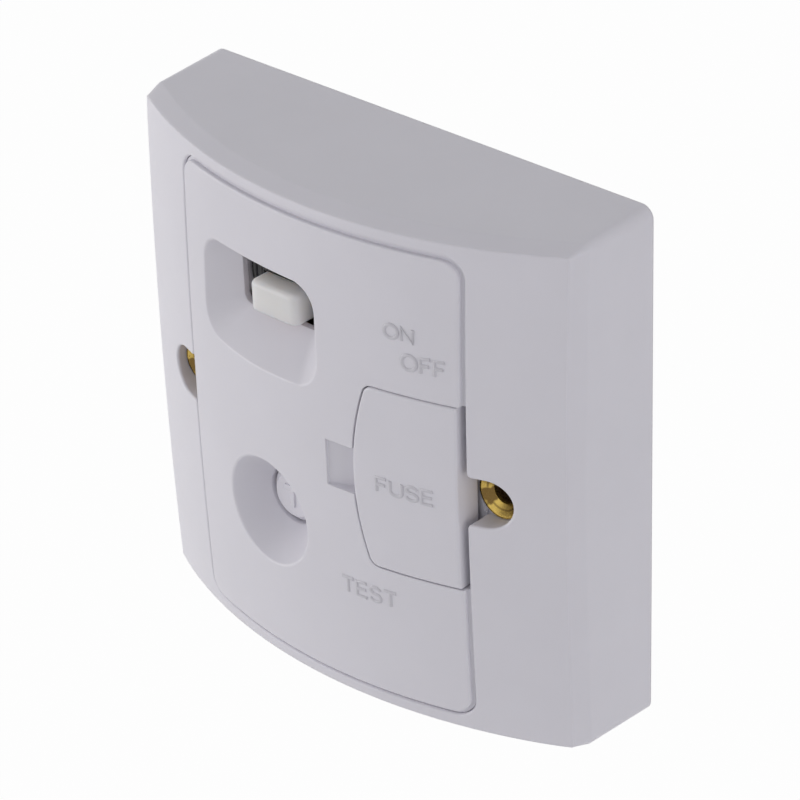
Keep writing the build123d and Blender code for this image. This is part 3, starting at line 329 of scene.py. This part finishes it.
# Letters are coloured darker than the plastic around them, as painted shade on their raised
# strokes
letter_plastic = moulded("letter_plastic", shade(WHITE, 0.84), 0.42, edge=0.1 * MM)
rear_plastic = moulded("rear_plastic", REAR_WHITE, 0.52, grain=0.014 * MM, depth=1.2 * MM)
toggle_plastic = moulded(
    "toggle_plastic", WARM_WHITE, 0.32, depth=6.0 * MM, soft_share=1.0, edge=0.5 * MM,
)
black_plastic = ribbed("black_plastic", BLACK, 0.2, "X", FLAG_PITCH)
red_plastic = ribbed("red_plastic", RED, 0.24, "X", FLAG_PITCH)
dark_plastic = moulded("dark_plastic", linear(66, 68, 74), 0.5, grain=0.01 * MM)
component_plastic = moulded("component_plastic", linear(30, 30, 32), 0.45, grain=0.01 * MM)
ceramic = moulded("ceramic", linear(226, 220, 206), 0.22, grain=0.003 * MM, depth=1.0 * MM)
varistor_coat = moulded("varistor_coat", linear(34, 72, 150), 0.25, grain=0.03 * MM)
can_sleeve = moulded("can_sleeve", linear(38, 42, 56), 0.3)
ferrite = moulded("ferrite", linear(46, 46, 48), 0.62, grain=0.02 * MM)
brown_sleeve = moulded("brown_sleeve", linear(104, 62, 36), 0.4)
laminate = board("laminate")
steel = metal("steel", (0.56, 0.56, 0.57, 1.0), 0.32)
spring_wire = metal("spring_wire", (0.50, 0.50, 0.52, 1.0), 0.24)
nickel = metal("nickel", (0.72, 0.70, 0.66, 1.0), 0.2)
copper = metal("copper", (0.76, 0.34, 0.17, 1.0), 0.3)
silvered = metal("silvered", (0.80, 0.76, 0.68, 1.0), 0.25)
plain_brass = metal("plain_brass", (0.78, 0.53, 0.20, 1.0), 0.28, worn=0.72)
wound_copper = ribbed("wound_copper", ENAMELLED_COPPER, 0.3, "Z", TURN_PITCH)
wound_ring = ribbed("wound_ring", ENAMELLED_COPPER, 0.3, "X", TURN_PITCH)
left_brass = brass("left_brass", -FIXING_X)
right_brass = brass("right_brass", FIXING_X)

dressing = {
    face_plastic: ["centre_panel", "fuse_carrier", "test_button"],
    frame_plastic: ["front_frame"],
    rear_plastic: ["rear_housing"],
    toggle_plastic: ["toggle_lever"],
    black_plastic: ["off_flag"],
    red_plastic: ["on_flag"],
    dark_plastic: ["contact_base", "contact_carriage", "solenoid_bobbin", "test_guide"],
    component_plastic: ["control_chip", "board_resistors"],
    ceramic: ["fuse_body"],
    varistor_coat: ["varistor"],
    can_sleeve: ["smoothing_capacitor"],
    ferrite: ["toroid_core"],
    brown_sleeve: ["main_conductors"],
    laminate: ["circuit_board"],
    steel: [
        "frame_screws", "panel_screws", "terminal_screws", "solenoid_yoke", "trip_plunger",
        "toggle_pivot_pin", "carrier_hinge_pin",
    ],
    spring_wire: ["carriage_spring", "plunger_spring", "test_spring"],
    nickel: ["fuse_end_caps"],
    copper: ["terminal_posts"],
    silvered: ["moving_contacts", "fixed_contacts", "test_contacts"],
    plain_brass: [
        "earth_strap", "fuse_contacts",
        "supply_neutral_terminal", "supply_earth_terminal", "supply_live_terminal",
        "load_neutral_terminal", "load_earth_terminal", "load_live_terminal",
    ],
    wound_copper: ["solenoid_coil"],
    wound_ring: ["toroid_winding"],
    left_brass: ["left_eyelet"],
    right_brass: ["right_eyelet"],
}
for material, names in dressing.items():
    for name in names:
        slots = nodes[name].data.materials
        slots.clear()
        slots.append(material)


def front(x, z, rise):
    """Point at a rise above the dome, and the direction out of it."""
    across = CROWN_ACROSS - sqrt(CROWN_ACROSS**2 - x**2)
    up = CROWN_UP - sqrt(CROWN_UP**2 - z**2)
    out = Vector((x / CROWN_ACROSS, -sqrt(1 - (x / CROWN_ACROSS) ** 2), z / CROWN_UP)).normalized()
    return Vector((x, across + up - CROWN_HEIGHT - rise, z)), out


def arc(x, y, across, up, first, last, steps=10):
    """Points along part of an ellipse, with angles in degrees."""
    turns = [radians(first + (last - first) * step / steps) for step in range(steps + 1)]
    return [(x + across * cos(turn), y + up * sin(turn)) for turn in turns]


# Strokes of each letter in a box one high, and how wide that box is
LETTERS = {
    "E": (0.62, [[(0.62, 0), (0, 0), (0, 1), (0.62, 1)], [(0, 0.52), (0.56, 0.52)]]),
    "F": (0.58, [[(0, 0), (0, 1), (0.58, 1)], [(0, 0.52), (0.50, 0.52)]]),
    "N": (0.72, [[(0, 0), (0, 1), (0.72, 0), (0.72, 1)]]),
    "O": (0.86, [arc(0.43, 0.5, 0.43, 0.5, 90, 450, 28)]),
    "S": (0.64, [
        arc(0.32, 0.755, 0.31, 0.245, 15, 270) + arc(0.32, 0.265, 0.32, 0.265, 90, -165),
    ]),
    "T": (0.70, [[(0, 1), (0.70, 1)], [(0.35, 1), (0.35, 0)]]),
    "U": (0.70, [[(0, 1)] + arc(0.35, 0.33, 0.35, 0.33, 180, 360) + [(0.70, 1)]]),
}
LETTER_GAP = 0.24
LETTER_RADIUS = 0.34 * MM
LETTER_SINK = 0.14 * MM


def lettering(name, text, box, body, rise):
    """Raised moulded word that fills a box on the domed front."""
    left, right, top, bottom = (side * MM for side in box)
    curve = bpy.data.curves.new(name, "CURVE")
    curve.dimensions = "3D"
    curve.bevel_depth = LETTER_RADIUS
    curve.bevel_resolution = 3
    curve.use_fill_caps = True
    length = sum(LETTERS[letter][0] for letter in text) + LETTER_GAP * (len(text) - 1)
    start = 0.0
    for letter in text:
        width, strokes = LETTERS[letter]
        for stroke in strokes:
            spline = curve.splines.new("POLY")
            spline.points.add(len(stroke) - 1)
            for point, (u, v) in zip(spline.points, stroke):
                x = left + (start + u) / length * (right - left)
                place, out = front(x, bottom + v * (top - bottom), rise)
                point.co = (*(place - out * LETTER_SINK), 1.0)
        start += width + LETTER_GAP
    piece = bpy.data.objects.new(name, curve)
    bpy.context.scene.collection.objects.link(piece)
    curve.materials.append(letter_plastic)
    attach(piece, body)


# Left, right, top and bottom of each word in millimetres
lettering("word_on", "ON", (15.6, 20.2, 26.5, 24.4), "case", PANEL_RISE)
lettering("word_off", "OFF", (18.4, 25.0, 22.3, 19.9), "case", PANEL_RISE)
lettering("word_test", "TEST", (6.3, 15.9, -19.4, -21.9), "case", PANEL_RISE)
lettering("word_fuse", "FUSE", (13.65, 22.85, 0.55, -1.75), "carrier", CARRIER_RISE)


def looked_at(tree):
    """Factor that is 1 where the camera or a reflection looks, and 0 for all other light."""
    path = tree.nodes.new("ShaderNodeLightPath")
    factor = tree.nodes.new("ShaderNodeMath")
    factor.operation = "MAXIMUM"
    tree.links.new(path.outputs["Is Camera Ray"], factor.inputs[0])
    tree.links.new(path.outputs["Is Glossy Ray"], factor.inputs[1])
    return factor.outputs[0]


# Floor under the plate, white where the camera looks at it
floor_mesh = bpy.data.meshes.new("floor")
half = FLOOR_SIZE / 2
level = cad_low[2] - FLOOR_DROP
floor_mesh.from_pydata(
    [(-half, -half, level), (half, -half, level), (half, half, level), (-half, half, level)],
    [], [(0, 1, 2, 3)],
)
floor = bpy.data.objects.new("floor", floor_mesh)
bpy.context.scene.collection.objects.link(floor)
g = Graph("floor_paint")
g.set(
    colour=g.mix(g.span(g.noise(40.0), 0.0, 1.0), linear(236, 236, 237), linear(240, 240, 240)),
    roughness=0.9,
)
glow = g.add("ShaderNodeEmission", {"Color": (1.0, 1.0, 1.0, 1.0), "Strength": 1.0})
blend = g.add("ShaderNodeMixShader", {
    0: g.math("MULTIPLY", looked_at(g.tree), FLOOR_GLOW),
    1: g.shader.outputs[0],
    2: glow.outputs[0],
})
g.tree.links.new(blend.outputs[0], g.output.inputs["Surface"])
floor_mesh.materials.append(g.material)

# World: white where the camera or a reflection looks at it, a dimmer even light on the object
world = bpy.data.worlds.new("studio")
bpy.context.scene.world = world
world.use_nodes = True
sky = world.node_tree
ambient = sky.nodes["Background"]
ambient.inputs["Color"].default_value = (0.98, 0.98, 1.0, 1.0)
ambient.inputs["Strength"].default_value = WORLD_LIGHT
white = sky.nodes.new("ShaderNodeBackground")
white.inputs["Strength"].default_value = 1.0
white.inputs["Color"].default_value = (1.0, 1.0, 1.0, 1.0)
choice = sky.nodes.new("ShaderNodeMixShader")
sky.links.new(looked_at(sky), choice.inputs[0])
sky.links.new(ambient.outputs[0], choice.inputs[1])
sky.links.new(white.outputs[0], choice.inputs[2])
sky.links.new(choice.outputs[0], sky.nodes["World Output"].inputs["Surface"])


def lamp(name, place, size, watts, colour):
    """Soft square lamp that faces the plate."""
    data = bpy.data.lights.new(name, "AREA")
    data.size = size
    data.energy = watts
    data.color = colour
    light = bpy.data.objects.new(name, data)
    light.location = place
    light.rotation_euler = (-Vector(place)).to_track_quat("-Z", "Y").to_euler()
    bpy.context.scene.collection.objects.link(light)


lamp("key", (-0.84, -0.74, -0.17), 1.0, 8.1, (1.0, 0.98, 0.98))
lamp("side", (1.10, -0.05, -0.05), 0.7, 2.6, (0.99, 0.98, 1.0))
lamp("back", (0.2, 1.0, 0.62), 0.8, 0.2, (1.0, 0.99, 1.0))

# Camera at the photograph's place
camera_data = bpy.data.cameras.new("camera")
camera_data.lens = CAMERA_LENS
camera_data.sensor_width = SENSOR_WIDTH
camera_data.sensor_fit = "HORIZONTAL"
camera_data.clip_start = CLIP_START
camera_data.clip_end = CLIP_END
camera = bpy.data.objects.new("camera", camera_data)
bpy.context.scene.collection.objects.link(camera)
turn = Matrix.Rotation(radians(CAMERA_AZIMUTH), 4, "Z")
tilt = Matrix.Rotation(radians(90 - CAMERA_ELEVATION), 4, "X")
roll = Matrix.Rotation(radians(CAMERA_ROLL), 4, "Z")
back_off = Matrix.Translation((0.0, 0.0, CAMERA_DISTANCE))
camera.matrix_world = Matrix.Translation(CAMERA_AIM) @ turn @ tilt @ roll @ back_off
bpy.context.scene.camera = camera

bpy.context.scene.view_settings.view_transform = "Standard"
